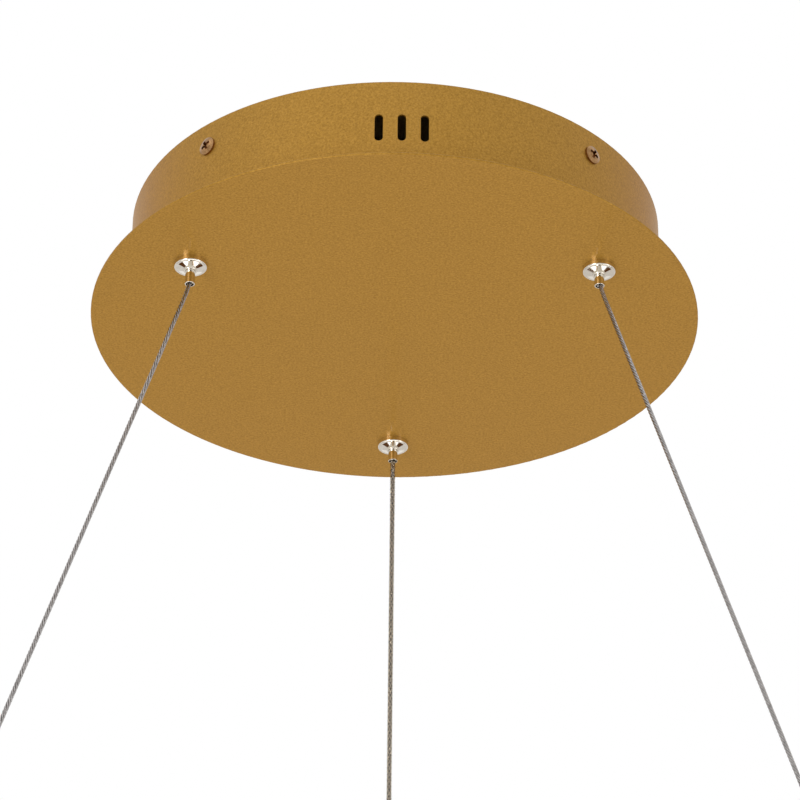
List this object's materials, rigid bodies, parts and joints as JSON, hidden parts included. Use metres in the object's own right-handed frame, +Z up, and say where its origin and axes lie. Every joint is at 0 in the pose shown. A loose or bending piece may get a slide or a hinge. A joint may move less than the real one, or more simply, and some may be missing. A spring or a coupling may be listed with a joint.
{
  "type": "led ring chandelier",
  "caption": "Round light ring hung by two wire ropes and a power cable from a flanged ceiling canopy with side vents, adjusted by push-to-release wire grippers.",
  "frame": {"origin": "middle of the ceiling plane, between the two ceiling screw slots", "axes": "+Z up into the ceiling, +X along the line of the two screw slots, -Y towards the vents that face the viewer"},
  "size_m": [0.5998, 0.6, 0.7124],
  "materials": {
    "gold_paint": "matt metallic gold powder coat with a fine sparkle",
    "gold_ring": "matt metallic gold powder coat on extruded aluminium",
    "zinc_plate": "bright zinc plate on cold rolled steel",
    "nickel_plate": "bright nickel plate",
    "hard_steel": "polished hardened steel",
    "spring_steel": "drawn spring wire",
    "brass": "turned brass",
    "tinned_brass": "tin plated brass",
    "plain_aluminium": "mill finish",
    "aluminium_sleeve": "crimped, mill finish",
    "black_rubber": "smooth moulded rubber",
    "driver_plastic": "fine textured moulding",
    "circuit_board": "white solder mask",
    "component_plastic": "moulded",
    "terminal_nylon": "natural nylon",
    "lead_brown": "soft sleeve",
    "lead_blue": "soft sleeve",
    "lead_green": "soft sleeve, green with a yellow stripe",
    "steel_rope": "stranded stainless wire",
    "braided_cable": "clear sheath over a tinned braid",
    "opal_acrylic": "satin opal",
    "led_phosphor": "phosphor in a white package"
  },
  "bodies": {
    "canopy": {"cable_tail": "braided_cable", "canopy_drum": "gold_paint", "canopy_plate": "gold_paint", "ceiling_pan": "zinc_plate", "cover_screws": "nickel_plate", "driver_board": "circuit_board", "driver_case": "driver_plastic", "driver_components": "component_plastic", "driver_lid": "driver_plastic", "ear_nuts": "zinc_plate", "earth_lead": "lead_green", "earth_lug": "tinned_brass", "grip_spring_left": "spring_steel", "grip_spring_rear": "spring_steel", "grip_spring_right": "spring_steel", "gripper_body_left": "nickel_plate", "gripper_body_rear": "nickel_plate", "gripper_body_right": "nickel_plate", "gripper_bushes": "brass", "gripper_nuts": "nickel_plate", "gripper_washers": "zinc_plate", "live_lead": "lead_brown", "mains_grommet": "black_rubber", "neutral_lead": "lead_blue", "pan_stud_nuts": "zinc_plate", "pan_studs": "zinc_plate", "plate_stud_nuts": "zinc_plate", "plate_studs": "zinc_plate", "power_cable": "braided_cable", "rope_left": "steel_rope", "rope_right": "steel_rope", "rope_stops": "aluminium_sleeve", "rope_tails": "steel_rope", "terminal_block": "terminal_nylon", "terminal_inserts": "brass", "terminal_screws": "zinc_plate"},
    "release_left": {"release_sleeve_left": "nickel_plate", "jaw_balls_left": "hard_steel", "spring_cup_left": "brass"},
    "release_right": {"release_sleeve_right": "nickel_plate", "jaw_balls_right": "hard_steel", "spring_cup_right": "brass"},
    "release_rear": {"release_sleeve_rear": "nickel_plate", "jaw_balls_rear": "hard_steel", "spring_cup_rear": "brass"},
    "light_ring": {"ring_channel_back": "gold_ring", "ring_channel_front": "gold_ring", "splice_keys": "plain_aluminium", "splice_screws": "zinc_plate", "diffuser_back": "opal_acrylic", "diffuser_front": "opal_acrylic", "led_strip": "circuit_board", "leds": "led_phosphor", "wire_anchors": "nickel_plate", "anchor_screws": "zinc_plate", "rivet_nuts": "zinc_plate", "rope_ends": "steel_rope", "cable_end": "braided_cable"}
  },
  "joints": [
    {"name": "ring_height", "type": "slide", "parent": "canopy", "child": "light_ring", "axis": [0, 0, 1], "range_m": [0, 0.3], "deforming": ["rope_left", "rope_right", "power_cable"]},
    {"name": "release_left_press", "type": "slide", "parent": "canopy", "child": "release_left", "axis": [0, 0, 1], "range_m": [0, 0.002], "stiffness_N_per_m": 800, "springref_m": -0.002, "deforming": ["grip_spring_left"]},
    {"name": "release_right_press", "type": "slide", "parent": "canopy", "child": "release_right", "axis": [0, 0, 1], "range_m": [0, 0.002], "stiffness_N_per_m": 800, "springref_m": -0.002, "deforming": ["grip_spring_right"]},
    {"name": "release_rear_press", "type": "slide", "parent": "canopy", "child": "release_rear", "axis": [0, 0, 1], "range_m": [0, 0.002], "stiffness_N_per_m": 800, "springref_m": -0.002, "deforming": ["grip_spring_rear"]}
  ]
}
